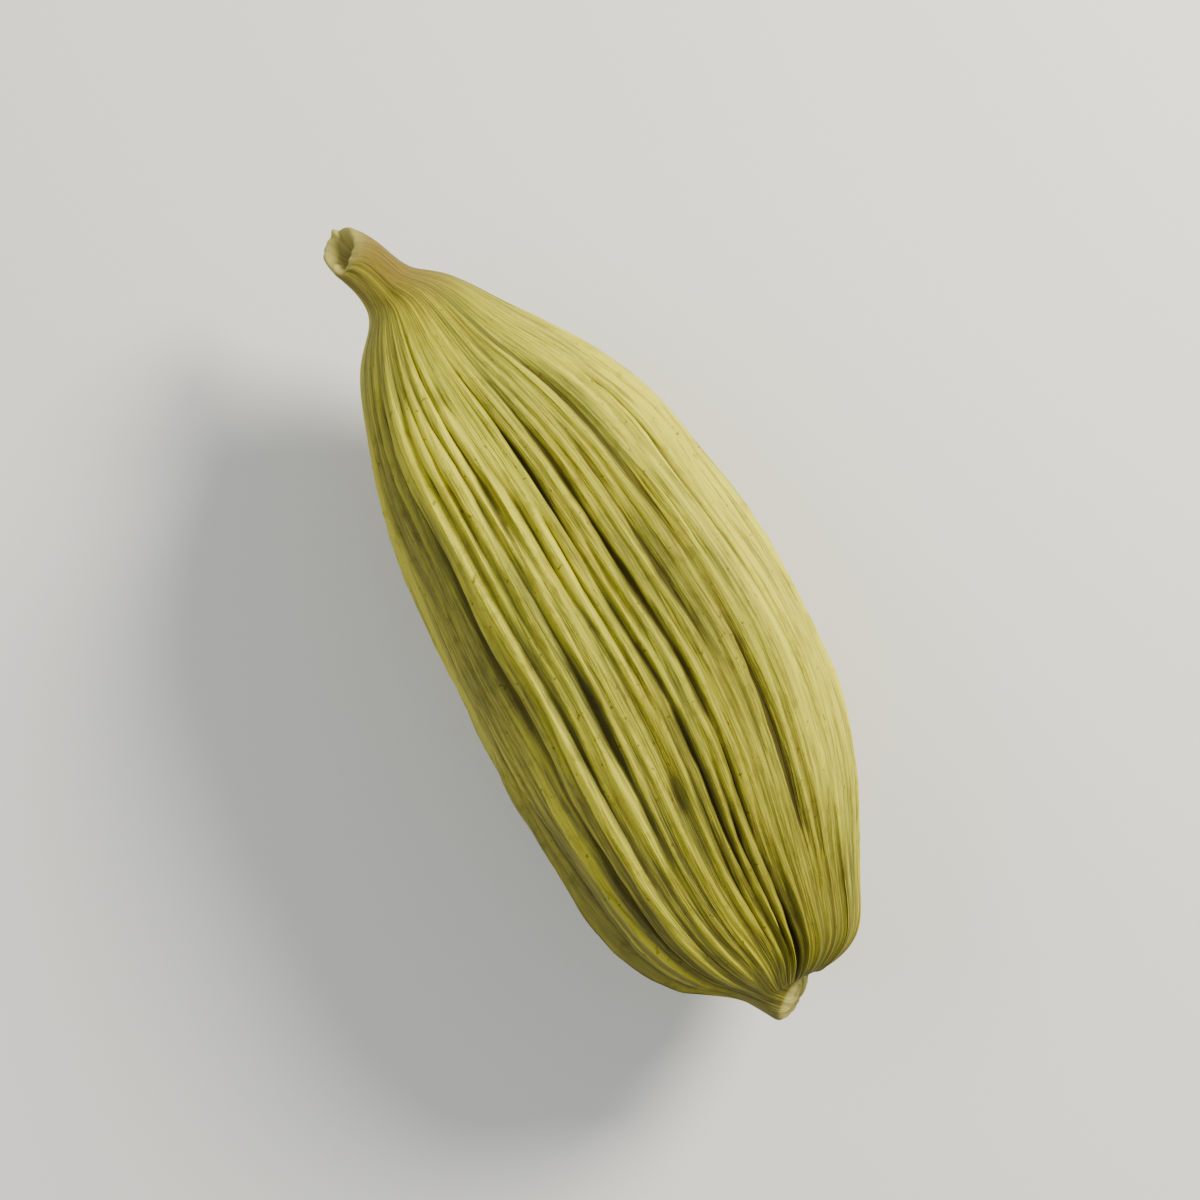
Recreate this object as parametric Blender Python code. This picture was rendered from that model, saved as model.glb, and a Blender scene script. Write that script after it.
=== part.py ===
"""Green cardamom pod: one closed, dried seed capsule that lies on its side.

Run it with blender --background --python part.py, or from Blender's text editor. Lengths are in metres and
+Z is up. The pod lies along X with its neck towards +X, it bulges towards -Y, and it rests on a small flat
spot at z = 0.

The husk is one piece, so it is one object. It starts as a UV sphere whose circles become cross-sections
of the pod, from the pit in its neck to its stalk scar, and whose meridians become the ribs: four meridians
to a rib, for its crest, the groove beyond it and the flanks between them.
"""

import math
import random
from collections import namedtuple

import bpy
from mathutils import Vector, noise

MM = 0.001

# Driving dimensions
AXIS_HEIGHT = 3.35 * MM  # of the pod's axis over the surface, which leaves a flat spot below
AXIS_SHIFT = 0.84 * MM  # centres the box of the bulging pod
SEED = 11

# The pod from the pit in its neck to its stalk scar, in millimetres: the way along, the radius, how far the
# middle lies towards the bulge and how far it is lifted
OUTLINE = (
    (0.95, 0.00, 0.28, 0.24),  # floor of the pit
    (0.75, 0.20, 0.20, 0.26),
    (0.36, 0.28, 0.06, 0.31),  # inner edge of the rim
    (0.20, 0.41, 0.00, 0.32),  # top of the rim
    (0.42, 0.53, 0.09, 0.30),  # outer edge of the rim
    (1.05, 0.54, 0.37, 0.20),  # neck
    (1.55, 0.59, 0.44, 0.12),
    (1.90, 1.02, 0.62, 0.06),  # shoulder
    (2.55, 1.53, 0.58, 0.02),
    (3.50, 2.04, 0.52, 0.00),
    (4.75, 2.66, 0.58, 0.00),
    (6.20, 3.10, 0.72, 0.00),
    (7.90, 3.33, 0.71, 0.00),
    (9.80, 3.50, 0.75, 0.00),
    (11.60, 3.51, 0.67, 0.00),  # widest
    (13.20, 3.36, 0.48, 0.00),
    (14.60, 3.05, 0.24, 0.00),
    (15.80, 2.62, 0.14, 0.00),
    (16.75, 2.16, 0.17, 0.00),
    (17.35, 1.75, 0.13, 0.00),
    (17.74, 0.90, -0.05, 0.00),  # foot of the stub
    (17.96, 0.57, -0.02, 0.02),
    (18.16, 0.46, 0.04, 0.04),  # edge of the scar
    (18.10, 0.00, 0.04, 0.04),
)
RIM_POINT = 3
SCAR_POINT = 22
NECK_POINT = 5  # the ribs rise from here
STUB_POINT = 20  # and run out here
LENGTH = OUTLINE[SCAR_POINT][0] * MM

# The neck's open end leans up, and the stub is broken off aslant: how far a point moves along the pod
# for each unit that it is higher, or further from the bulge, than the middle
RIM_SLANT = 0.9
SCAR_SLANT_UP = 0.4
SCAR_SLANT_SIDE = 0.3

# Section: a circle with three rounded corners, at the seams where the husk would split
SECTION_BASE = 0.935
CORNER_SHARE = 0.095
CORNER_SPREAD = math.radians(34)
CORNERS_FULL_AT = 2.2 * MM  # radius. Smaller sections are rounder, and the neck and the stub are round
SEAM_ANGLES = tuple(math.radians(a) for a in (-38, 82, -158))  # from straight up, towards the bulge

# Ribs. Those of the upper side are set one by one: the angle from straight up towards the bulge, how high the
# crest is, how deep the groove beyond it is, and where that groove starts and ends along the pod
UPPER_RIBS = (
    (-72, 1.7, 1.0, 0.10, 0.92),
    (-57, 0.7, 0.6, 0.35, 0.72),
    (-46, 0.8, 1.0, 0.00, 1.00),
    (-33, 1.5, 0.9, 0.22, 0.95),
    (-22, 0.9, 0.8, 0.25, 0.78),
    (-10, 0.9, 0.5, 0.34, 0.76),
    (2, 0.6, 1.4, 0.18, 0.85),
    (12, 1.1, 1.5, 0.24, 1.00),
    (23, 1.0, 1.0, 0.34, 0.62),
    (34, 0.8, 1.2, 0.20, 0.83),
    (49, 0.5, 0.4, 0.22, 0.40),
    (63, 0.4, 0.3, 0.60, 0.90),
    (76, 0.6, 0.5, 0.12, 0.80),
)
RIBS = 30
RIB_HEIGHT = 0.080 * MM
GROOVE_DEPTH = 0.105 * MM
SEAM_GAIN = 1.5  # the ribs and grooves beside a seam are this much stronger
RIBS_FULL_AT = 2.5 * MM  # radius. The ribs are flatter on smaller sections
RIBS_START, RIBS_WHOLE = 1.5 * MM, 5.5 * MM  # way along. Near the neck the husk is taut and the ribs are faint
RIBS_LEAST = 0.3
RIB_SHARPNESS = 1.5
SWAY = math.radians(0.9)
SWAY_WAVES = 1.1  # along the pod
WAXING = ((0.28, 2.3, 5), (0.20, 5.1, 9))  # how much, waves along the pod, and their place for each phase
FADE = 0.08  # share of the length over which a groove fades out

# Ribs of the lower side, drawn at random in these ranges
SPACING_JITTER = 0.22  # of the spacing between two ribs
LOWER_HEIGHTS = (0.6, 1.0)
LOWER_GROOVES = (0.5, 1.1)
SHORT_GROOVES = 0.5  # share of the grooves that stop before an end
SHORT_STARTS = (0.20, 0.40)
SHORT_ENDS = (0.65, 0.85)

# Seeds that press softly through the husk
BULGE_HEIGHT = 0.11 * MM
BULGE_SIZE = 2.3 * MM

STEPS_PER_RIB = 4
RINGS_PER_POINT = 2
FLAT_CUTTER_SIZE = 2 * LENGTH
SHARP_EDGE = math.radians(50)  # such as the rim of the flat spot

POD_COLOUR = (0.40, 0.345, 0.075, 1.0)
POD_ROUGHNESS = 0.55

Rib = namedtuple("Rib", "angle height groove start end phase")
Section = namedtuple("Section", "centre right up radius share ribbed rim scar")


def clear_scene():
    for obj in list(bpy.data.objects):
        bpy.data.objects.remove(obj, do_unlink=True)


def collection_named(name):
    collection = bpy.data.collections.new(name)
    bpy.context.scene.collection.children.link(collection)
    return collection


def angle_between(a, b):
    return abs((a - b + math.pi) % math.tau - math.pi)


def smooth(value):
    value = min(1.0, max(0.0, value))
    return value * value * (3 - 2 * value)


def outline_at(place):
    """Way along, radius and centre on a smooth curve through OUTLINE, at a place counted in its rows."""
    first = min(int(place), len(OUTLINE) - 2)
    t = place - first
    rows = [OUTLINE[min(max(first + i, 0), len(OUTLINE) - 1)] for i in (-1, 0, 1, 2)]
    weights = (
        0.5 * (-t + 2 * t**2 - t**3),
        0.5 * (2 - 5 * t**2 + 3 * t**3),
        0.5 * (t + 4 * t**2 - 3 * t**3),
        0.5 * (-(t**2) + t**3),
    )
    along, radius, side, lift = (MM * sum(w * v for w, v in zip(weights, values)) for values in zip(*rows))
    return along, max(radius, 0.0), Vector((LENGTH / 2 - along, AXIS_SHIFT - side, AXIS_HEIGHT + lift))


def section_at(place):
    """The plane and the size of one cross-section. The plane stands square to the pod's bent axis."""
    along, radius, centre = outline_at(place)
    steady = min(max(place, RIM_POINT + 1), SCAR_POINT - 1)
    tangent = (outline_at(steady - 1)[2] - outline_at(steady + 1)[2]).normalized()
    right = tangent.cross(Vector((0, 0, 1))).normalized()
    ribbed = smooth((place - NECK_POINT + 1) / 2) * smooth((STUB_POINT + 1 - place) / 2)
    ribbed *= RIBS_LEAST + (1 - RIBS_LEAST) * smooth((along - RIBS_START) / (RIBS_WHOLE - RIBS_START))
    rim, scar = smooth((NECK_POINT - place) / 2), smooth((place - STUB_POINT) / 1.5)
    return Section(centre, right, right.cross(tangent), radius, along / LENGTH, ribbed, rim, scar)


def rib_grown(draw, degrees, height, groove, start, end):
    return Rib(math.radians(degrees), height, groove, start, end, draw.uniform(0, math.tau))


def grown_ribs():
    """The ribs in order round the pod. Those of the lower side are drawn at random, stronger at a seam."""
    draw = random.Random(SEED)
    ribs = [rib_grown(draw, *row) for row in UPPER_RIBS]
    last, first = UPPER_RIBS[-1][0], UPPER_RIBS[0][0] + 360
    lower = RIBS - len(ribs)
    spacing = (first - last) / (lower + 1)
    for i in range(1, lower + 1):
        degrees = last + spacing * (i + draw.uniform(-SPACING_JITTER, SPACING_JITTER))
        seam = min(angle_between(math.radians(degrees), a) for a in SEAM_ANGLES) < math.radians(spacing)
        gain = SEAM_GAIN if seam else 1.0
        height, groove = gain * draw.uniform(*LOWER_HEIGHTS), gain * draw.uniform(*LOWER_GROOVES)
        short = draw.random() < SHORT_GROOVES and not seam
        start, end = (draw.uniform(*SHORT_STARTS), draw.uniform(*SHORT_ENDS)) if short else (0.0, 1.0)
        ribs.append(rib_grown(draw, degrees, height, groove, start, end))
    return ribs


def waxing(phase, share):
    """How a rib swells and thins along the pod, round 1."""
    return 1 + sum(part * math.sin(math.tau * waves * share + turn * phase) for part, waves, turn in WAXING)


def crest_strength(rib, share):
    return rib.height * waxing(rib.phase, share)


def groove_strength(rib, share):
    rise = smooth((share - rib.start) / FADE + 0.5) if rib.start > 0 else 1.0
    fall = smooth((rib.end - share) / FADE + 0.5) if rib.end < 1 else 1.0
    return rib.groove * waxing(rib.phase + 2, share) * rise * fall


def rib_angle(rib, share):
    return rib.angle + SWAY * math.sin(math.tau * SWAY_WAVES * share + rib.phase)


def slanted(point, section):
    """The point moved along the pod where it is part of the leaning rim or of the slanting scar."""
    way = point - section.centre
    back = section.rim * RIM_SLANT * way.z
    forward = section.scar * (SCAR_SLANT_UP * way.z - SCAR_SLANT_SIDE * way.y)
    return point + Vector((forward - back, 0, 0))


def husk_point(section, ribs, turn):
    """One point of the husk, where turn runs from 0 to RIBS round the pod and whole numbers are crests."""
    index = int(turn) % RIBS
    t = turn - int(turn)
    here, after = ribs[index], ribs[(index + 1) % RIBS]
    first, second = rib_angle(here, section.share), rib_angle(after, section.share)
    if index == RIBS - 1:
        second += math.tau
    angle = first + t * (second - first)

    wave = 0.5 + 0.5 * math.cos(math.tau * t)
    crest = wave**RIB_SHARPNESS * crest_strength(here if t < 0.5 else after, section.share)
    groove = (1 - wave) ** RIB_SHARPNESS * groove_strength(here, section.share)
    relief = (RIB_HEIGHT * crest - GROOVE_DEPTH * groove) * section.ribbed
    relief *= min(1.0, section.radius / RIBS_FULL_AT)

    body = smooth(section.radius / CORNERS_FULL_AT)
    corners = sum(math.exp(-((angle_between(angle, a) / CORNER_SPREAD) ** 2)) for a in SEAM_ANGLES)
    shape = 1 + body * (SECTION_BASE + CORNER_SHARE * corners - 1)
    outward = section.right * math.sin(angle) + section.up * math.cos(angle)
    bare = section.centre + outward * (section.radius * shape)
    bulge = BULGE_HEIGHT * noise.noise(bare / BULGE_SIZE) * body
    return slanted(bare + outward * (relief + bulge), section)


def husk_material():
    material = bpy.data.materials.new("husk")
    material.use_nodes = True
    shader = material.node_tree.nodes["Principled BSDF"]
    shader.inputs["Base Color"].default_value = POD_COLOUR
    shader.inputs["Roughness"].default_value = POD_ROUGHNESS
    shader.inputs["Metallic"].default_value = 0.0
    material.diffuse_color = POD_COLOUR
    return material


def move_to(obj, collection):
    for old in obj.users_collection:
        old.objects.unlink(obj)
    collection.objects.link(obj)


def make_pod(collection):
    """A UV sphere whose circles are moved to the pod's cross-sections. Its poles are the pit and the scar."""
    meridians = RIBS * STEPS_PER_RIB
    rings = RINGS_PER_POINT * (len(OUTLINE) - 1)
    bpy.ops.mesh.primitive_uv_sphere_add(segments=meridians, ring_count=rings, radius=1)
    pod = bpy.context.object
    pod.name = pod.data.name = "pod"
    move_to(pod, collection)

    ribs = grown_ribs()
    sections = [section_at(i / RINGS_PER_POINT) for i in range(rings + 1)]
    for vertex in pod.data.vertices:
        ring = round(math.acos(max(-1.0, min(1.0, vertex.co.z))) / math.pi * rings)
        meridian = round(math.atan2(vertex.co.y, vertex.co.x) / math.tau * meridians) % meridians
        vertex.co = husk_point(sections[ring], ribs, meridian / STEPS_PER_RIB)
    pod.data.shade_smooth()
    pod.data.set_sharp_from_angle(angle=SHARP_EDGE)
    pod.data.materials.append(husk_material())
    return pod


def cut_flat_spot(pod, collection):
    """Takes off what lies below z = 0, so that the pod rests on a flat spot and doesn't roll."""
    bpy.ops.mesh.primitive_cube_add(size=FLAT_CUTTER_SIZE, location=(0, 0, -FLAT_CUTTER_SIZE / 2))
    cutter = bpy.context.object
    cutter.name = "surface_below"
    cutter.hide_render = True
    cutter.display_type = "WIRE"
    move_to(cutter, collection)
    flat = pod.modifiers.new("flat_spot", "BOOLEAN")
    flat.operation = "DIFFERENCE"
    flat.solver = "EXACT"
    flat.object = cutter


def main():
    clear_scene()
    pod = make_pod(collection_named("cardamom_pod"))
    cut_flat_spot(pod, collection_named("cutters"))


main()
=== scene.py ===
# %% [markdown]
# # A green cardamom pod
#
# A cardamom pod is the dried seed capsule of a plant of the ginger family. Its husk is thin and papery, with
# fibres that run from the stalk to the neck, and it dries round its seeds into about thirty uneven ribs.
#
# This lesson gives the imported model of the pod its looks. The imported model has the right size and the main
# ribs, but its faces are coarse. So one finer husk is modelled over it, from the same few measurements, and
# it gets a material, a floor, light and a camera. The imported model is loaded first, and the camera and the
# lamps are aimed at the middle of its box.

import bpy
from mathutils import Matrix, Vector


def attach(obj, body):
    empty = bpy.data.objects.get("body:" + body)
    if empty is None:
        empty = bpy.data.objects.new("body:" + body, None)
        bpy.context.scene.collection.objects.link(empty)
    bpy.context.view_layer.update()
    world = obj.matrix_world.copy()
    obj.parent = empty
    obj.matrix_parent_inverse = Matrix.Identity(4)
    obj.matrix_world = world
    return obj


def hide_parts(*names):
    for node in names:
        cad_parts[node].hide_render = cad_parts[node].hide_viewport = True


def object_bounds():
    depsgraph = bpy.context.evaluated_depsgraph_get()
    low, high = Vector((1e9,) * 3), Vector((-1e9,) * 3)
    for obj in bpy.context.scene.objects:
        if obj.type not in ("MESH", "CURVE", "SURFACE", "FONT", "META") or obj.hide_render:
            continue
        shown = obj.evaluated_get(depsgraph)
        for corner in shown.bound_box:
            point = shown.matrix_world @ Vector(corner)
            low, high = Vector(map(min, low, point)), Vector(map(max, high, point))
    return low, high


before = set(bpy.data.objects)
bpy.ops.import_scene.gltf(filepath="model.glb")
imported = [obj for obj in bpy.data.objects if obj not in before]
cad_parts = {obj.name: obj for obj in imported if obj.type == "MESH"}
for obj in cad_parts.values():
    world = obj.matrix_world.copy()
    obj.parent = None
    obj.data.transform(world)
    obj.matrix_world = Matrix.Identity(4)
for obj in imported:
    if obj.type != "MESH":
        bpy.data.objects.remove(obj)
packed_low, packed_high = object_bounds()
print("packed model:", [round(1000 * side, 2) for side in packed_high - packed_low], "mm")

# %% What the lesson needs from Blender and Python
import math
import random
from collections import namedtuple

import bmesh
import bpy
import numpy as np
from mathutils import Matrix, Vector, noise

MM = 0.001
SEED = 11

# %% [markdown]
# ## The outline
#
# A pod is easiest to describe as rings strung on a bent line. Each row below is one ring, in millimetres: how
# far along the pod it is, its radius, how far its middle lies towards the side that bulges, and how far it is
# lifted. The first rows are the pit in the neck, its rim and the neck, and the last ones are the stub of the
# stalk with its scar. Rows are close together where the outline bends sharply, and far apart elsewhere.

# %% The rings of the pod
OUTLINE = (
    (0.95, 0.00, 0.28, 0.24),  # floor of the pit
    (0.75, 0.20, 0.20, 0.26),
    (0.36, 0.28, 0.06, 0.31),  # inner edge of the rim
    (0.20, 0.41, 0.00, 0.32),  # top of the rim
    (0.42, 0.53, 0.09, 0.30),  # outer edge of the rim
    (1.05, 0.54, 0.37, 0.20),  # neck
    (1.55, 0.59, 0.44, 0.12),
    (1.90, 1.02, 0.62, 0.06),  # shoulder
    (2.55, 1.53, 0.58, 0.02),
    (3.50, 2.04, 0.52, 0.00),
    (4.75, 2.66, 0.58, 0.00),
    (6.20, 3.10, 0.72, 0.00),
    (7.90, 3.33, 0.71, 0.00),
    (9.80, 3.50, 0.75, 0.00),
    (11.60, 3.51, 0.67, 0.00),  # widest
    (13.20, 3.36, 0.48, 0.00),
    (14.60, 3.05, 0.24, 0.00),
    (15.80, 2.62, 0.14, 0.00),
    (16.75, 2.16, 0.17, 0.00),
    (17.35, 1.75, 0.13, 0.00),
    (17.74, 0.90, -0.05, 0.00),  # foot of the stub
    (17.96, 0.57, -0.02, 0.02),
    (18.16, 0.46, 0.04, 0.04),  # edge of the scar
    (18.10, 0.00, 0.04, 0.04),
)
RIM_ROW = 3
NECK_ROW = 5
STUB_ROW = 20
SCAR_ROW = 22
LENGTH = OUTLINE[SCAR_ROW][0] * MM
AXIS_HEIGHT = 3.35 * MM
AXIS_SHIFT = 0.84 * MM
SIDES = 60  # of a ring


def ring_centre(row):
    """The middle of a ring, with the neck towards +X and the bulge towards -Y."""
    along, _, side, lift = OUTLINE[row]
    return Vector((LENGTH / 2 - along * MM, AXIS_SHIFT - side * MM, AXIS_HEIGHT + lift * MM))


def ring_turn(row):
    """How far a ring is turned about Z, so that it stands square to the bent line."""
    steady = min(max(row, RIM_ROW + 1), SCAR_ROW - 1)
    towards_neck = ring_centre(steady - 1) - ring_centre(steady + 1)
    return math.atan2(towards_neck.y, towards_neck.x)


print("rings:", len(OUTLINE), "and the neck turns by", round(math.degrees(ring_turn(RIM_ROW))), "degrees")

# %% [markdown]
# ## The cage
#
# The coarse body, or cage, could be a stretched sphere, but then its rings would sit where the sphere has
# them. Here it is drawn as a glass blower would: a small disc for the floor of the pit, whose edge is
# extruded from ring to ring, and moved, scaled and turned on the way. The last edge is pulled together.
#
# Each point also remembers its row and its direction round the pod. Subdivision will fill in those notes for
# the new points between, and the ribs and the material are laid out on them later.

# %% Helpers to start an object and to note where a ring is
def deselect_all():
    for obj in bpy.context.selected_objects:
        obj.select_set(False)


def note_ring(obj, row):
    """Notes on the selected points which row they are in and which way they lie from its middle."""
    mesh = bmesh.from_edit_mesh(obj.data)
    notes = mesh.verts.layers.float
    centre, turn = ring_centre(row), ring_turn(row)
    to_bulge = Vector((math.sin(turn), -math.cos(turn), 0))
    for point in (p for p in mesh.verts if p.select):
        way = (point.co - centre).normalized()
        point[notes["row"]] = row
        point[notes["way_up"]] = way.z
        point[notes["way_out"]] = way.dot(to_bulge)
    bmesh.update_edit_mesh(obj.data)


def move_selected(shift):
    bpy.ops.transform.translate(value=shift)


# %% Draw the cage ring by ring
def draw_cage():
    deselect_all()
    first = 1
    bpy.ops.mesh.primitive_circle_add(
        vertices=SIDES,
        radius=OUTLINE[first][1] * MM,
        fill_type="TRIFAN",
        location=ring_centre(first),
        rotation=(0, math.pi / 2, ring_turn(first)),
    )
    cage = bpy.context.object
    cage.name = cage.data.name = "pod_husk"
    bpy.ops.object.transform_apply(location=True, rotation=True, scale=True)
    bpy.ops.object.mode_set(mode="EDIT")
    mesh = bmesh.from_edit_mesh(cage.data)
    for name in ("row", "way_up", "way_out"):
        mesh.verts.layers.float.new(name)
    note_ring(cage, first)

    middle = min(mesh.verts, key=lambda p: (p.co - ring_centre(first)).length)
    for point in mesh.verts:
        point.select = point is middle
    mesh.select_flush_mode()
    move_selected(ring_centre(0) - ring_centre(first))
    note_ring(cage, 0)

    bpy.ops.mesh.select_all(action="DESELECT")
    mesh = bmesh.from_edit_mesh(cage.data)
    for edge in mesh.edges:
        edge.select = edge.is_boundary
    mesh.select_flush_mode()
    for row in range(first + 1, len(OUTLINE) - 1):
        step = ring_centre(row) - ring_centre(row - 1)
        bpy.ops.mesh.extrude_region_move(TRANSFORM_OT_translate={"value": step})
        growth = OUTLINE[row][1] / OUTLINE[row - 1][1]
        centre = ring_centre(row)
        bpy.ops.transform.resize(value=(growth, growth, growth), center_override=centre)
        turn = ring_turn(row) - ring_turn(row - 1)
        bpy.ops.transform.rotate(value=-turn, orient_axis="Z", center_override=centre)
        note_ring(cage, row)
    bpy.ops.mesh.extrude_region_move(TRANSFORM_OT_translate={"value": (0, 0, 0)})
    bpy.ops.mesh.merge(type="CENTER")
    move_selected(ring_centre(len(OUTLINE) - 1) - ring_centre(SCAR_ROW))
    note_ring(cage, len(OUTLINE) - 1)
    bpy.ops.mesh.select_all(action="SELECT")
    bpy.ops.mesh.normals_make_consistent(inside=False)
    bpy.ops.object.mode_set(mode="OBJECT")
    return cage


husk = draw_cage()
print("cage:", len(husk.data.vertices), "points and", len(husk.data.polygons), "faces")

# %% [markdown]
# ## Rounding the cage
#
# A Subdivision Surface modifier splits each face in four, three times over, and rounds what it makes, much as
# a drying husk has no hard edges. It also fills in the notes for the new points. It is applied at once,
# because the ribs have to be pressed into real points, a few hundredths of a millimetre apart.

# %% Subdivide and apply
SUBDIVISIONS = 3


def apply_subdivision(obj, levels):
    rounding = obj.modifiers.new("rounding", "SUBSURF")
    rounding.levels = rounding.render_levels = levels
    bpy.context.view_layer.objects.active = obj
    bpy.ops.object.modifier_apply(modifier=rounding.name)


apply_subdivision(husk, SUBDIVISIONS)
print("husk:", len(husk.data.vertices), "points")

# %% [markdown]
# ## Reading and pressing the surface
#
# No Blender tool draws thirty uneven ribs that run together at both ends. Sculpting them by hand would work,
# but a formula does it the same way each time. All points are read into arrays, each gets a distance, and it
# is pushed out along its normal by that much, or in where the distance is below zero.

# %% Helpers to read the notes and push the points
def note(obj, name):
    values = np.empty(len(obj.data.vertices), np.float32)
    obj.data.attributes[name].data.foreach_get("value", values)
    return values.astype(float)


def points_of(obj):
    values = np.empty(3 * len(obj.data.vertices), np.float32)
    obj.data.vertices.foreach_get("co", values)
    return values.reshape(-1, 3).astype(float)


def place_points(obj, points):
    obj.data.vertices.foreach_set("co", points.astype(np.float32).ravel())
    obj.data.update()


def push_out(obj, distances):
    normals = np.empty(3 * len(obj.data.vertices), np.float32)
    obj.data.vertices.foreach_get("normal", normals)
    place_points(obj, points_of(obj) + normals.reshape(-1, 3) * distances[:, None])


def smooth(values):
    values = np.clip(values, 0, 1)
    return values * values * (3 - 2 * values)


def angles_between(a, b):
    return (a - b + math.pi) % math.tau - math.pi


def hill(distances, width, power=2.0):
    """1 in the middle, and down to a third one width away. A lower power gives a sharper crest."""
    return np.exp(-(np.abs(distances / width) ** power))


row_of = note(husk, "row")
angle_of = np.arctan2(note(husk, "way_out"), note(husk, "way_up"))
along_of = np.interp(row_of, range(len(OUTLINE)), [ring[0] for ring in OUTLINE])
radius_of = np.interp(row_of, range(len(OUTLINE)), [ring[1] for ring in OUTLINE])
share_of = along_of * MM / LENGTH
print("angles round the pod:", round(angle_of.min(), 2), "to", round(angle_of.max(), 2))

# %% [markdown]
# ## The grain
#
# What follows the fibres needs another measure than plain space: the pod is thought of as straightened, so
# that each point has a place round it and along it. That place is also kept on the mesh as "grain", because
# the material follows the fibres with it.

# %% Straighten the pod in thought
GRAIN_RADIUS = 3.4  # millimetres


def straightened():
    """A point's place on a straight pod of one radius, in millimetres: two ways across and one along."""
    return np.stack(
        [GRAIN_RADIUS * np.cos(angle_of), GRAIN_RADIUS * np.sin(angle_of), along_of], axis=1
    )


def noise_at(places):
    return np.array([noise.noise(Vector(place)) for place in places])


grain = straightened()
grain_note = husk.data.attributes.new("grain", "FLOAT_VECTOR", "POINT")
grain_note.data.foreach_set("vector", grain.astype(np.float32).ravel())
print("grain kept on", len(grain), "points")

# %% [markdown]
# ## Three corners
#
# The pod is grown from three joined leaves, so its section is a rounded triangle, and it would split along
# the three corners. The ends are rounder. The corners are hills on a slightly smaller circle.

# %% Press the section into a rounded triangle
SECTION_BASE = 0.935
CORNER_SHARE = 0.095
CORNER_SPREAD = math.radians(34)
CORNERS_FULL_AT = 2.2  # millimetres of radius
SEAM_ANGLES = tuple(math.radians(a) for a in (-38, 82, -158))  # from straight up, towards the bulge

body = smooth(radius_of / CORNERS_FULL_AT)
corners = sum(hill(angles_between(angle_of, seam), CORNER_SPREAD) for seam in SEAM_ANGLES)
push_out(husk, body * radius_of * MM * (SECTION_BASE + CORNER_SHARE * corners - 1))
print("corner pushed out by", round(radius_of.max() * (SECTION_BASE + CORNER_SHARE - 1), 2), "mm")

# %% [markdown]
# ## Where the ribs are
#
# The ribs of the upper side are set one by one: the angle from straight up towards the bulge, how high the
# crest is, how deep the groove beyond it is, and where along the pod that groove starts and ends. The lower
# side isn't seen, so a seeded random draw sets its ribs in the same manner.

# %% Set the ribs
UPPER_RIBS = (
    (-72, 1.7, 1.0, 0.10, 0.92),
    (-57, 0.7, 0.6, 0.35, 0.72),
    (-46, 0.8, 1.0, 0.00, 1.00),
    (-33, 1.5, 0.9, 0.22, 0.95),
    (-22, 0.9, 0.8, 0.25, 0.78),
    (-10, 0.9, 0.5, 0.34, 0.76),
    (2, 0.6, 1.4, 0.18, 0.85),
    (12, 1.1, 1.5, 0.24, 1.00),
    (23, 1.0, 1.0, 0.34, 0.62),
    (34, 0.8, 1.2, 0.20, 0.83),
    (49, 0.5, 0.4, 0.22, 0.40),
    (63, 0.4, 0.3, 0.60, 0.90),
    (76, 0.6, 0.5, 0.12, 0.80),
)
RIBS = 30
SEAM_GAIN = 1.5
SPACING_JITTER = 0.22
LOWER_HEIGHTS = (0.6, 1.0)
LOWER_GROOVES = (0.5, 1.1)
SHORT_GROOVES = 0.5  # share of the lower grooves that stop before an end
SHORT_STARTS = (0.20, 0.40)
SHORT_ENDS = (0.65, 0.85)

Rib = namedtuple("Rib", "angle height groove start end phase")


def rib_grown(draw, degrees, height, groove, start, end):
    return Rib(math.radians(degrees), height, groove, start, end, draw.uniform(0, math.tau))


def grown_ribs():
    draw = random.Random(SEED)
    ribs = [rib_grown(draw, *row) for row in UPPER_RIBS]
    last, first = UPPER_RIBS[-1][0], UPPER_RIBS[0][0] + 360
    lower = RIBS - len(ribs)
    spacing = (first - last) / (lower + 1)
    for i in range(1, lower + 1):
        degrees = last + spacing * (i + draw.uniform(-SPACING_JITTER, SPACING_JITTER))
        angle = math.radians(degrees)
        seam = min(abs(angles_between(angle, a)) for a in SEAM_ANGLES) < math.radians(spacing)
        gain = SEAM_GAIN if seam else 1.0
        height, groove = gain * draw.uniform(*LOWER_HEIGHTS), gain * draw.uniform(*LOWER_GROOVES)
        short = draw.random() < SHORT_GROOVES and not seam
        start, end = (draw.uniform(*SHORT_STARTS), draw.uniform(*SHORT_ENDS)) if short else (0.0, 1.0)
        ribs.append(rib_grown(draw, degrees, height, groove, start, end))
    return ribs


ribs = grown_ribs()
print("ribs:", len(ribs), "of which", len(UPPER_RIBS), "are seen from above")
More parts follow.
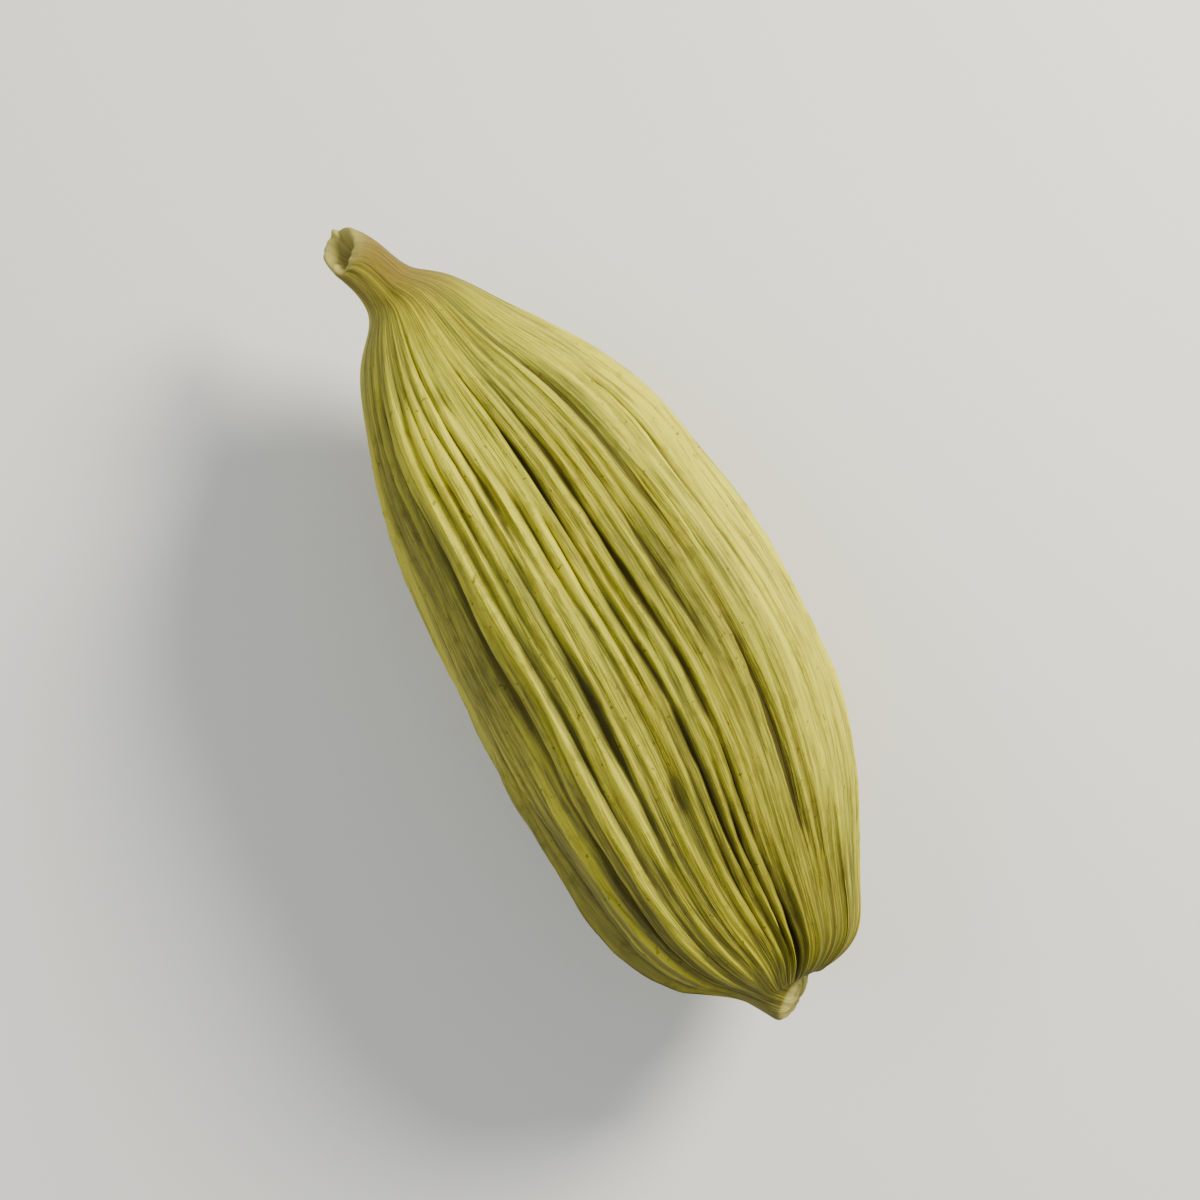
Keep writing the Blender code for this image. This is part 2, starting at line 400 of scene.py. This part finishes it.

# %% [markdown]
# ## Pressing the ribs
#
# On the husk a rib is a narrow light crest, and beside it runs a narrower, darker groove. Both are hills
# here, the groove upside down. They sway and wander a little and wax and wane on their way along, and a
# groove fades out where it stops, so that two ribs run together there. Between two ribs there is a shorter,
# finer one, and veins lie on all of them. Near the neck the husk is taut, and the ribs are faint. Noise on
# the grain makes all of them wander together, as they do where the husk has shrunk, and makes them deep here
# and faint there.
#
# In a few places a groove sinks into a short, deeper pit. Those are listed one by one: the angle, how far
# along the pod, half the pit's length, its slant in degrees for each millimetre along, and its depth.

# %% Press crests, grooves and veins
RIB_HEIGHT = 0.075 * MM
CREST_WIDTH = 0.145  # of the spacing between two ribs, like the next five lines
GROOVE_WIDTH = 0.115
GROOVE_PLACE = 0.34
FINER_PLACE = 0.60
FINER_GROOVE_PLACE = 0.80
FINER_SHIFTS = (-0.08, 0.08)
CREST_POWER = 1.3
GROOVE_DEPTH = 0.100 * MM
FINER_STRENGTHS = (0.3, 1.15)
FINER_STARTS = (0.10, 0.45)  # as shares of the pod's length
FINER_LENGTHS = (0.2, 0.6)
GROOVE_PHASE, FINER_PHASE = 2, 4  # added to a rib's phase, so that they don't swell where it does
SWELLS = ((0.28, 2.3, 5), (0.20, 5.1, 9))  # how much, waves along the pod, and times the rib's phase
SLACK_SIZE = 2.6  # millimetres
SLACK_LEAST, SLACK_MOST = 0.65, 1.25
SLACK_CONTRAST = 1.1
SLACK_OFFSET = 7  # takes this noise elsewhere than the wandering's
VEIN_HEIGHT = 0.068 * MM
VEIN_WIDTH = math.radians(1.15)
VEINS = 190
VEIN_STARTS = (0.0, 0.7)  # as shares of the pod's length
VEIN_LENGTHS = (0.2, 0.7)
VEIN_WAVES = (0.5, 1.5)
VEIN_SWAY = 2  # times that of a rib
VEIN_STRENGTHS = (-0.6, 1.0)
WANDER = math.radians(1.5)
WANDER_SIZE = 1.6  # millimetres
WANDER_STRETCH = 0.45
SWAY = math.radians(0.9)
SWAY_WAVES = 1.1
FADE = 0.08
FADE_ROWS = 2  # over which the ribs fade at either end
RIBS_FULL_AT = 2.5  # millimetres of radius
RIBS_START, RIBS_WHOLE, RIBS_LEAST = 1.5, 5.5, 0.3  # millimetres along, and their strength at the start
PIT_DEPTH = 0.11 * MM
PIT_WIDTH = math.radians(2.2)
PIT_POWER = 4.0
PITS = (
    (-18, 11.7, 0.9, 0.0, 0.6),
    (6, 10.8, 0.6, 0.5, 1.0),
    (5, 12.3, 0.5, 0.0, 0.8),
    (17, 8.5, 0.8, 0.0, 0.7),
    (16, 11.4, 0.8, -1.0, 1.1),
    (11, 14.3, 0.9, -4.0, 0.8),
    (-9, 4.0, 0.4, 0.0, 0.7),
    (12, 5.4, 0.5, 0.0, 0.6),
    (-7, 13.3, 0.4, 2.0, 0.6),
    (-43, 9.5, 1.2, 0.0, 0.7),
    (28, 8.9, 1.0, 0.0, 0.4),
)


wandering = angle_of + WANDER * noise_at(grain * (1, 1, WANDER_STRETCH) / WANDER_SIZE)


def rib_angle(rib):
    return rib.angle + SWAY * np.sin(math.tau * SWAY_WAVES * share_of + rib.phase)


def window(start, end):
    """1 between two shares of the length and 0 beyond, with a soft change. An end at 0 or 1 has none."""
    rise = smooth((share_of - start) / FADE + 0.5) if start > 0 else 1.0
    fall = smooth((end - share_of) / FADE + 0.5) if end < 1 else 1.0
    return rise * fall


def drawn_veins():
    draw = random.Random(SEED + 1)
    found = np.zeros(len(share_of))
    for _ in range(VEINS):
        angle, phase = draw.uniform(-math.pi, math.pi), draw.uniform(0, math.tau)
        start, length = draw.uniform(*VEIN_STARTS), draw.uniform(*VEIN_LENGTHS)
        sway = VEIN_SWAY * SWAY * np.sin(math.tau * share_of * draw.uniform(*VEIN_WAVES) + phase)
        vein = hill(angles_between(wandering, angle + sway), VEIN_WIDTH)
        found += draw.uniform(*VEIN_STRENGTHS) * vein * window(start, start + length)
    return found


def waxing(phase):
    """How a rib swells and thins along the pod, round 1."""
    size = 1
    for much, waves, times in SWELLS:
        size = size + much * np.sin(math.tau * waves * share_of + times * phase)
    return size


def drawn_pits():
    found = np.zeros(len(share_of))
    for degrees, along, reach, slant, depth in PITS:
        middle_line = np.radians(degrees + slant * (along_of - along))
        across = hill(angles_between(wandering, middle_line), PIT_WIDTH)
        found += depth * across * hill(along_of - along, reach, PIT_POWER)
    return found


def band(line, gap, place, width, power=2.0):
    """A hill that runs beside a rib's line, at a share of the gap to the next one."""
    return hill(angles_between(wandering, line + place * gap), width * gap, power)


crests, grooves = np.zeros(len(share_of)), np.zeros(len(share_of))
draw = random.Random(SEED + 2)
for i, rib in enumerate(ribs):
    here = rib_angle(rib)
    gap = angles_between(rib_angle(ribs[(i + 1) % RIBS]), here)
    crests += rib.height * waxing(rib.phase) * band(here, gap, 0, CREST_WIDTH, CREST_POWER)
    groove_strength = rib.groove * waxing(rib.phase + GROOVE_PHASE) * window(rib.start, rib.end)
    grooves += groove_strength * band(here, gap, GROOVE_PLACE, GROOVE_WIDTH)
    start, length, shift = (draw.uniform(*way) for way in (FINER_STARTS, FINER_LENGTHS, FINER_SHIFTS))
    finer = draw.uniform(*FINER_STRENGTHS) * waxing(rib.phase + FINER_PHASE) * window(start, start + length)
    crests += finer * band(here, gap, FINER_PLACE + shift, CREST_WIDTH, CREST_POWER)
    grooves += finer * band(here, gap, FINER_GROOVE_PLACE + shift, GROOVE_WIDTH)
veins, pits = drawn_veins(), drawn_pits()
ribbed = smooth((row_of - NECK_ROW) / FADE_ROWS + 0.5) * smooth((STUB_ROW - row_of) / FADE_ROWS + 0.5)
ribbed *= np.minimum(1, radius_of / RIBS_FULL_AT)
ribbed *= RIBS_LEAST + (1 - RIBS_LEAST) * smooth((along_of - RIBS_START) / (RIBS_WHOLE - RIBS_START))
slack_noise = noise_at(grain * (1, 1, WANDER_STRETCH) / SLACK_SIZE + SLACK_OFFSET)
slack = smooth(0.5 + SLACK_CONTRAST * slack_noise)
ribbed *= SLACK_LEAST + (SLACK_MOST - SLACK_LEAST) * slack
raised = RIB_HEIGHT * crests + VEIN_HEIGHT * veins
push_out(husk, ribbed * (raised - GROOVE_DEPTH * grooves - PIT_DEPTH * pits))
print("deepest groove:", round(1000 * GROOVE_DEPTH * grooves.max(), 3), "mm")

# %% [markdown]
# ## Seeds and shrivelling
#
# The seeds press softly through the husk, and the husk has shrunk a little unevenly between them. All of it
# is noise: a coarse one in plain space for the seeds, a finer one that is stretched along the grain, as
# fibres are, and the finest for the crinkles.

# %% Press the seeds' bumps and the uneven shrinking
BULGE_HEIGHT = 0.09 * MM
BULGE_SIZE = 2.3 * MM
SHRIVEL_HEIGHT = 0.035 * MM
SHRIVEL_STRETCH = 0.28
SHRIVEL_SIZE = 0.55  # millimetres
CRINKLE_HEIGHT = 0.018 * MM
CRINKLE_SIZE = 0.30  # millimetres

bulges = noise_at(points_of(husk) / BULGE_SIZE)
shrivel = noise_at(grain * (1, 1, SHRIVEL_STRETCH) / SHRIVEL_SIZE)
crinkle = noise_at(grain / CRINKLE_SIZE)
uneven = SHRIVEL_HEIGHT * shrivel + CRINKLE_HEIGHT * crinkle
push_out(husk, body * BULGE_HEIGHT * bulges + ribbed * uneven)
print("bumps:", round(1000 * BULGE_HEIGHT * np.ptp(bulges), 2), "mm from lowest to highest")

# %% [markdown]
# ## The torn ends
#
# The neck is what is left of the flower: a short tube with an uneven rim, whose open end leans up a little.
# The stub was broken from its stalk, aslant. Both have short fibres of their own, finer than the ribs, and
# both are only a millimetre across. The slants move points along the pod by how high or how far to the side
# they are.

# %% Roughen the neck and the stub
END_RADIUS, END_FADE = 0.7, 0.6  # millimetres: what is no thicker is an end, and its looks fade beyond
END_FIBRES = 13  # round an end
END_FIBRE_HEIGHT = 0.009 * MM
END_FIBRE_SWAY = 2.5
END_LUMP_HEIGHT = 0.045 * MM
END_LUMP_SIZE = 0.55  # of the end's radius
END_LUMP_STRETCH = 0.6
RIM_TEAR = 0.09 * MM
RIM_TEAR_ROWS = 0.9
RIM_ROWS, SCAR_ROWS = 2, 1.5  # over which an end comes to lean
RIM_SLANT = 0.9  # how far the rim leans back for each unit of height
SCAR_SLANT_UP = 0.4
SCAR_SLANT_SIDE = 0.3

ends = 1 - smooth((radius_of - END_RADIUS) / END_FADE)
end_places = np.stack([np.cos(angle_of), np.sin(angle_of), END_LUMP_STRETCH * along_of], axis=1)
end_noise = noise_at(end_places / END_LUMP_SIZE)
fibre_wave = np.sin(END_FIBRES * angle_of + END_FIBRE_SWAY * end_noise)
push_out(husk, ends * (END_FIBRE_HEIGHT * fibre_wave + END_LUMP_HEIGHT * end_noise))
at_rim = smooth((NECK_ROW - row_of) / RIM_ROWS)
at_scar = smooth((row_of - STUB_ROW) / SCAR_ROWS)
torn = points_of(husk)
rim_centre, scar_centre = ring_centre(RIM_ROW), ring_centre(SCAR_ROW)
torn[:, 0] += hill(row_of - RIM_ROW, RIM_TEAR_ROWS) * RIM_TEAR * end_noise
torn[:, 0] -= at_rim * RIM_SLANT * (torn[:, 2] - rim_centre.z)
torn[:, 0] += at_scar * SCAR_SLANT_UP * (torn[:, 2] - scar_centre.z)
torn[:, 0] -= at_scar * SCAR_SLANT_SIDE * (torn[:, 1] - scar_centre.y)
place_points(husk, torn)
print("points in the ends:", int((ends > 0.5).sum()))

# %% [markdown]
# ## The flat spot
#
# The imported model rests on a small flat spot, and so does the husk: what would lie below the surface is
# raised to it. Then the surface is shaded smooth.

# %% Flatten what lies below the surface
resting = points_of(husk)
below = resting[:, 2] < 0
resting[below, 2] = 0
place_points(husk, resting)
husk.data.shade_smooth()
print("points on the flat spot:", int(below.sum()))

# %% [markdown]
# ## Notes for the material
#
# In the real husk the grooves are darker and the crests lighter, and the dry ends are browner; here the
# grooves also get painted shade and the crests a painted highlight. So the material needs to know where it
# is. The mesh keeps notes on its points for it: "grain", the place on the straightened pod, "relief", about -1
# in a deep groove and 1 on a crest, "paleness" of the torn ends, which reaches into the pit as painted light,
# and a last note for a few places that are set one by one, darker ones that are partly stains of the husk and
# partly painted shade, and lighter ones that are painted highlights: the angle, how far along, half the width
# in degrees, half the length in millimetres, and the strength, which is below zero for a painted highlight.

# %% Keep the notes on the mesh
GROOVE_FULL = 1.3  # depth, in the table's measure, at which a groove is at its darkest
VEIN_SHARE = 0.55
RELIEF_RANGE = (-1.2, 1.5)
# The pale rim's colour reaches into the pit, as painted light against the pit's shade.
PALE_ROW = RIM_ROW - 0.8  # the middle of the pale rim
PALE_ROWS = 1.6
PALE_POWER = 4.0
SCAR_PALE_ROW = SCAR_ROW - 0.55
SCAR_PALE_FADE = 0.4
MARK_EDGE_POWER = 3.0
# Darker places here are partly stains of the husk and partly painted shade; those below zero are painted
# highlights.
STAINS_AND_PAINTED_LIGHT = (
    (-53, 6.6, 11, 4.4, 1.2),
    (-9, 4.0, 3, 0.25, 1.0),
    (-10, 10.4, 13, 2.2, 0.3),
    (17, 7.6, 16, 6.0, 0.6),
    (37, 11.5, 12, 4.5, 0.9),
    (6, 13.9, 17, 2.2, 0.5),
    (36, 16.6, 34, 1.9, 1.2),
    (-82, 14.4, 22, 3.2, 1.2),
    (-76, 4.4, 11, 3.4, -1.8),
    (-33, 8.0, 2.5, 5.0, -0.8),
    (-24, 9.8, 5, 3.0, -0.5),
    (-4, 5.6, 6, 1.6, -0.7),
    (5, 3.3, 25, 1.7, -0.4),
    (70, 9.8, 19, 6.6, -0.7),
)


def keep_note(obj, name, values):
    kept = obj.data.attributes.new(name, "FLOAT", "POINT")
    kept.data.foreach_set("value", values.astype(np.float32))


def drawn_stains_and_painted_light():
    found = np.zeros(len(share_of))
    for degrees, along, width, reach, strength in STAINS_AND_PAINTED_LIGHT:
        across = hill(angles_between(angle_of, math.radians(degrees)), math.radians(width), MARK_EDGE_POWER)
        found += strength * across * hill(along_of - along, reach, MARK_EDGE_POWER)
    return found


relief = crests - grooves / GROOVE_FULL - pits + VEIN_SHARE * veins
keep_note(husk, "relief", ribbed * np.clip(relief, *RELIEF_RANGE))
keep_note(husk, "stain_and_painted_light", drawn_stains_and_painted_light())
# the pale rim, which reaches into the pit as painted light
pale_rim_and_painted_pit_light = hill(row_of - PALE_ROW, PALE_ROWS, PALE_POWER)
pale_scar = smooth((row_of - SCAR_PALE_ROW) / SCAR_PALE_FADE)
keep_note(husk, "paleness", pale_rim_and_painted_pit_light + pale_scar)
print("relief noted from", round(relief.min(), 2), "to", round(relief.max(), 2))

# %% [markdown]
# ## Shader maths as sums
#
# A material is a chain of nodes. Drawn by hand it is a web of wires, and in Python it can be read as sums
# instead. A Signal holds one output socket, and each sum, product or difference adds its Math node.

# %% A class for shader maths
class Signal:
    """One output of a node, which can be added, taken away, multiplied and compared."""

    def __init__(self, tree, socket):
        self.tree, self.socket = tree, socket

    def node(self, kind, settings=None, inputs=None, output=0):
        """Adds any node: its settings are set first, and then the values or links of its sockets."""
        added = self.tree.nodes.new(kind)
        for name, value in (settings or {}).items():
            setattr(added, name, value)
        for name, value in (inputs or {}).items():
            if isinstance(value, Signal):
                self.tree.links.new(value.socket, added.inputs[name])
            else:
                added.inputs[name].default_value = value
        return Signal(self.tree, added.outputs[output])

    def math(self, operation, *values, clamp=False):
        inputs = dict(enumerate(values))
        return self.node("ShaderNodeMath", {"operation": operation, "use_clamp": clamp}, inputs)

    def __add__(self, other):
        return self.math("ADD", self, other)

    def __sub__(self, other):
        return self.math("SUBTRACT", self, other)

    def __rsub__(self, other):
        return self.math("SUBTRACT", other, self)

    def __mul__(self, other):
        return self.math("MULTIPLY", self, other)

    __radd__, __rmul__ = __add__, __mul__

    def clamped(self):
        return self.math("ADD", self, 0.0, clamp=True)

    def between(self, low, high):
        """0 below low, 1 above high, and smooth in between. With low above high it falls instead."""
        settings = {"interpolation_type": "SMOOTHSTEP"}
        return self.node("ShaderNodeMapRange", settings, {"Value": self, "From Min": low, "From Max": high})

    def scaled(self, scale):
        """This place, stretched."""
        return self.node("ShaderNodeMapping", None, {"Vector": self, "Scale": scale})


def colour_from(red, green, blue):
    """A colour as a paint chart gives it, 0 to 255, in the linear values that a shader works with."""
    shares = [value / 255 for value in (red, green, blue)]
    linear = [s / 12.92 if s <= 0.04045 else ((s + 0.055) / 1.055) ** 2.4 for s in shares]
    return (*linear, 1.0)


print("olive as a shader sees it:", [round(value, 3) for value in colour_from(150, 138, 52)])

# %% [markdown]
# ## The husk's material
#
# A dried green husk is olive with a straw-yellow bloom, and nearly matt. Close by, its colour isn't one
# colour: fibres run lengthwise as fine light and dark streaks, the grooves are dark olive, the crests are
# light, patches are browner or greener, and there are a few brown specks. Light and shade are painted in as
# well: the grooves' dark and the crests' light are partly painted shade and painted highlight, and there is
# painted shade towards both ends, on the side away from the light and in a few places, and painted highlight
# in a few lit places. Each of these is one layer below, painted over the last one, and the fibres also tilt
# the surface a little through a Bump node.

# %% Make the husk's material
HUSK_OLIVE = colour_from(142, 136, 46)
HUSK_GREEN = colour_from(118, 120, 46)
HUSK_STRAW = colour_from(180, 171, 38)
# painted shade, laid towards both ends of the pod
PAINTED_SHADE_OLIVE = colour_from(90, 85, 38)
GROOVE_OLIVE = colour_from(62, 55, 26)
CREST_YELLOW = colour_from(218, 209, 58)
# painted shade: a duller olive for the side away from the light
PAINTED_SHADE_SIDE_OLIVE = colour_from(148, 141, 90)
# partly a stain colour, partly painted shade
STAIN_AND_SHADE_BROWN = colour_from(98, 94, 34)
# painted highlight
PAINTED_HIGHLIGHT_YELLOW = colour_from(226, 217, 58)
NECK_BROWN = colour_from(142, 112, 66)
END_PALE = colour_from(206, 194, 110)
SPECK_BROWN = colour_from(84, 60, 14)
MIX_FACTOR, MIX_FROM, MIX_TO = 0, 6, 7  # the places of a Mix node's colour sockets
MIX_RESULT = 2
SHINE = 0.05
BUMP_STRENGTH = 0.8
BUMP_HEIGHT = 0.12 * MM

# Each noise: how it is stretched along the grain, its scale, its detail and its roughness.
PATCHES = (0.6, 0.55, 3.0, 0.55)
BROAD_STREAKS = (0.10, 2.6, 4.0, 0.55)
FINE_FIBRES = (0.045, 11.0, 3.0, 0.6)
THREADS = (0.03, 26.0, 2.0, 0.6)
MOTTLE = (0.5, 5.5, 4.0, 0.62)
SPECKS = (0.8, 7.5, 2.0, 0.5)


def husk_material():
    material = bpy.data.materials.new("green_husk")
    material.use_nodes = True
    tree = material.node_tree
    shader = tree.nodes["Principled BSDF"]
    start = Signal(tree, None)

    def attribute(name, output="Fac"):
        return start.node("ShaderNodeAttribute", {"attribute_name": name}, None, output)

    def noise_on(place, stretch, scale, detail, roughness):
        stretched = place.scaled((1, 1, stretch))
        inputs = {"Vector": stretched, "Scale": scale, "Detail": detail, "Roughness": roughness}
        return start.node("ShaderNodeTexNoise", None, inputs)

    def painted(colour, pigment, share):
        """A colour, changed into the pigment where the share is 1."""
        inputs = {MIX_FACTOR: share, MIX_FROM: colour, MIX_TO: pigment}
        return start.node("ShaderNodeMix", {"data_type": "RGBA"}, inputs, MIX_RESULT)

    place = attribute("grain", "Vector")
    relief_here = attribute("relief")
    pale_end = attribute("paleness").clamped()
    # darker places: partly stains, partly painted shade
    stain_and_painted_light = attribute("stain_and_painted_light").clamped()
    # the places below zero: painted highlights
    painted_highlight = (attribute("stain_and_painted_light") * -1.0).clamped()
    upwards, towards_bulge, along = (
        start.node("ShaderNodeSeparateXYZ", None, {"Vector": place}, axis) for axis in "XYZ"
    )

    kinds = (PATCHES, BROAD_STREAKS, FINE_FIBRES, THREADS, MOTTLE, SPECKS)
    patches, broad_streaks, fine_fibres, threads, mottle, specks = (noise_on(place, *kind) for kind in kinds)

    groove = (relief_here * -1.0).between(0.0, 0.65)
    crest = relief_here.between(0.08, 0.75)
    # Painted shade: darker towards both ends, and less on the side that bulges towards the light.
    painted_shade_at_ends = along.between(8.0, 16.5) * (1 - 0.7 * towards_bulge.between(0.8, 2.6))
    painted_shade_at_ends = painted_shade_at_ends + 0.7 * along.between(15.2, 17.0) + 0.35 * along.between(4.8, 2.0)
    # the lower side away from the light, which gets painted shade
    unlit = upwards.between(3.4, -0.4) * towards_bulge.between(2.0, -2.0)
    neck_side = along.between(2.6, 1.2) * along.between(-0.2, 0.6)
    neck_side = neck_side * (0.4 + 0.8 * towards_bulge.between(-1.0, 2.5))

    layers = (
        (HUSK_OLIVE, patches.between(0.35, 0.65)),
        (HUSK_STRAW, broad_streaks.between(0.40, 0.62) * 0.65),
        # painted shade towards the ends
        (PAINTED_SHADE_OLIVE, painted_shade_at_ends.clamped() * (0.45 + 0.6 * patches)),
        # painted shade on the side away from the bulge and the light
        (PAINTED_SHADE_SIDE_OLIVE, towards_bulge.between(0.0, -3.0) * 0.35),
        # stains, partly painted shade
        (STAIN_AND_SHADE_BROWN, stain_and_painted_light * (0.25 + 0.5 * mottle.between(0.30, 0.62))),
        # painted highlights on lit places
        (PAINTED_HIGHLIGHT_YELLOW, painted_highlight * (0.30 + 0.6 * broad_streaks)),
        # the crests' lighter colour: partly the husk's own, partly painted highlight
        (CREST_YELLOW, crest * (0.70 - 0.50 * stain_and_painted_light)),
        (CREST_YELLOW, fine_fibres.between(0.50, 0.62) * 0.42),
        (GROOVE_OLIVE, fine_fibres.between(0.47, 0.37) * 0.46),
        (CREST_YELLOW, threads.between(0.54, 0.66) * 0.25),
        # a last layer of stain colour and painted shade over the fibres
        (STAIN_AND_SHADE_BROWN, stain_and_painted_light * 0.35),
        # painted shade on the unlit lower side
        (PAINTED_SHADE_SIDE_OLIVE, unlit * 0.50),
        # the grooves' darker colour: partly the husk's own, partly painted shade
        (GROOVE_OLIVE, groove * 0.85),
        (GROOVE_OLIVE, mottle.between(0.52, 0.68) * 0.24),
        (SPECK_BROWN, specks.between(0.68, 0.74) * 0.6),
        (NECK_BROWN, neck_side * (0.35 + 0.4 * broad_streaks)),
        # pale torn ends; inside the neck's pit this is also painted light
        (END_PALE, pale_end * (0.60 + 0.4 * mottle)),
    )
    colour = HUSK_GREEN
    for pigment, share in layers:
        colour = painted(colour, pigment, share)

    roughness = 0.50 + 0.14 * mottle + 0.10 * groove - 0.06 * crest
    height = 0.5 * fine_fibres + 0.3 * threads + 0.25 * mottle + 0.12 * broad_streaks
    inputs = {"Height": height, "Strength": BUMP_STRENGTH, "Distance": BUMP_HEIGHT}
    bump = start.node("ShaderNodeBump", None, inputs)
    tree.links.new(colour.socket, shader.inputs["Base Color"])
    tree.links.new(roughness.socket, shader.inputs["Roughness"])
    tree.links.new(bump.socket, shader.inputs["Normal"])
    shader.inputs["Specular IOR Level"].default_value = SHINE
    return material


husk.data.materials.append(husk_material())
print("nodes in the material:", len(husk.data.materials[0].node_tree.nodes))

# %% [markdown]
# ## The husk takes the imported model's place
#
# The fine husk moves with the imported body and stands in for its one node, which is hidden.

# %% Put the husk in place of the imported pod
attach(husk, "root")
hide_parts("pod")
print("the husk rides on the packed body")

# %% [markdown]
# ## Floor, light and camera
#
# The floor is plain and pale, and it takes the pod's soft shadow. The light is a warm, fairly soft lamp from
# the upper right of the picture, as by a window. A larger, weaker and cooler one from the left and a pale sky
# all round keep the other side from going black. The camera looks straight down, turned so that the neck is
# at the upper left.

# %% Lay the floor
def plain_material(name, colour, roughness):
    material = bpy.data.materials.new(name)
    material.use_nodes = True
    shader = material.node_tree.nodes["Principled BSDF"]
    shader.inputs["Base Color"].default_value = colour
    shader.inputs["Roughness"].default_value = roughness
    return material


FLOOR_SIDE = 0.6
FLOOR_GAP = 0.02 * MM
FLOOR_COLOUR = colour_from(240, 239, 236)
FLOOR_ROUGHNESS = 0.7

deselect_all()
bpy.ops.mesh.primitive_plane_add(size=FLOOR_SIDE, location=(0, 0, -FLOOR_GAP))
floor = bpy.context.object
floor.name = "floor"
bpy.ops.object.transform_apply(location=True)
floor.data.materials.append(plain_material("pale_floor", FLOOR_COLOUR, FLOOR_ROUGHNESS))
print("floor:", FLOOR_SIDE, "m a side")

# %% Set the camera and the lights
PICTURE_TURN = math.radians(31.2)  # of the pod's length from the picture's upright, neck to the left
PICTURE_RIGHT = Vector((-math.sin(PICTURE_TURN), -math.cos(PICTURE_TURN), 0))
PICTURE_UP = Vector((math.cos(PICTURE_TURN), -math.sin(PICTURE_TURN), 0))
PICTURE_WIDTH = 24.5 * MM
LENS = 150
CAMERA_SENSOR = 36  # the width of Blender's film, in the same unit as the lens
NEAREST_SEEN = 0.005  # metres
UP = Vector((0, 0, 1))
KEY_WAY = PICTURE_RIGHT * 0.9 + PICTURE_UP * 0.7 + UP * 0.78
FILL_WAY = PICTURE_RIGHT * -0.9 + PICTURE_UP * 0.2 + UP * 0.8
KEY_LAMP = {"distance": 0.09, "size": 0.035, "power": 0.165, "colour": (1.0, 0.98, 0.85)}  # metres, watts
FILL_LAMP = {"distance": 0.14, "size": 0.12, "power": 0.07, "colour": (0.88, 0.94, 1.0)}
SKY_COLOUR = (0.97, 0.97, 0.95, 1.0)
SKY_STRENGTH = 0.42


def aimed(target, place, roll_up):
    """Turns an object so that its -Z looks at the target, with a chosen way up."""
    back = (place - target).normalized()
    right = roll_up.cross(back).normalized()
    turn = Matrix((right, back.cross(right), back)).transposed()
    return Matrix.Translation(place) @ turn.to_4x4()


def add_lamp(name, target, way, distance, size, power, colour):
    place = target + way.normalized() * distance
    bpy.ops.object.light_add(type="AREA")
    lamp = bpy.context.object
    lamp.name, lamp.data.shape, lamp.data.size = name, "DISK", size
    lamp.data.energy, lamp.data.color = power, colour
    lamp.matrix_world = aimed(target, place, PICTURE_UP)


middle = (packed_low + packed_high) / 2
camera_distance = PICTURE_WIDTH * LENS / CAMERA_SENSOR
bpy.ops.object.camera_add()
camera = bpy.context.object
camera.data.lens, camera.data.clip_start = LENS, NEAREST_SEEN
camera.matrix_world = aimed(middle, middle + UP * camera_distance, PICTURE_UP)
bpy.context.scene.camera = camera

add_lamp("key_lamp", middle, KEY_WAY, **KEY_LAMP)
add_lamp("fill_lamp", middle, FILL_WAY, **FILL_LAMP)
world = bpy.data.worlds.new("studio")
world.use_nodes = True
sky = world.node_tree.nodes["Background"]
sky.inputs["Color"].default_value = SKY_COLOUR
sky.inputs["Strength"].default_value = SKY_STRENGTH
bpy.context.scene.world = world
print("camera:", round(camera_distance * 1000), "mm above the pod")
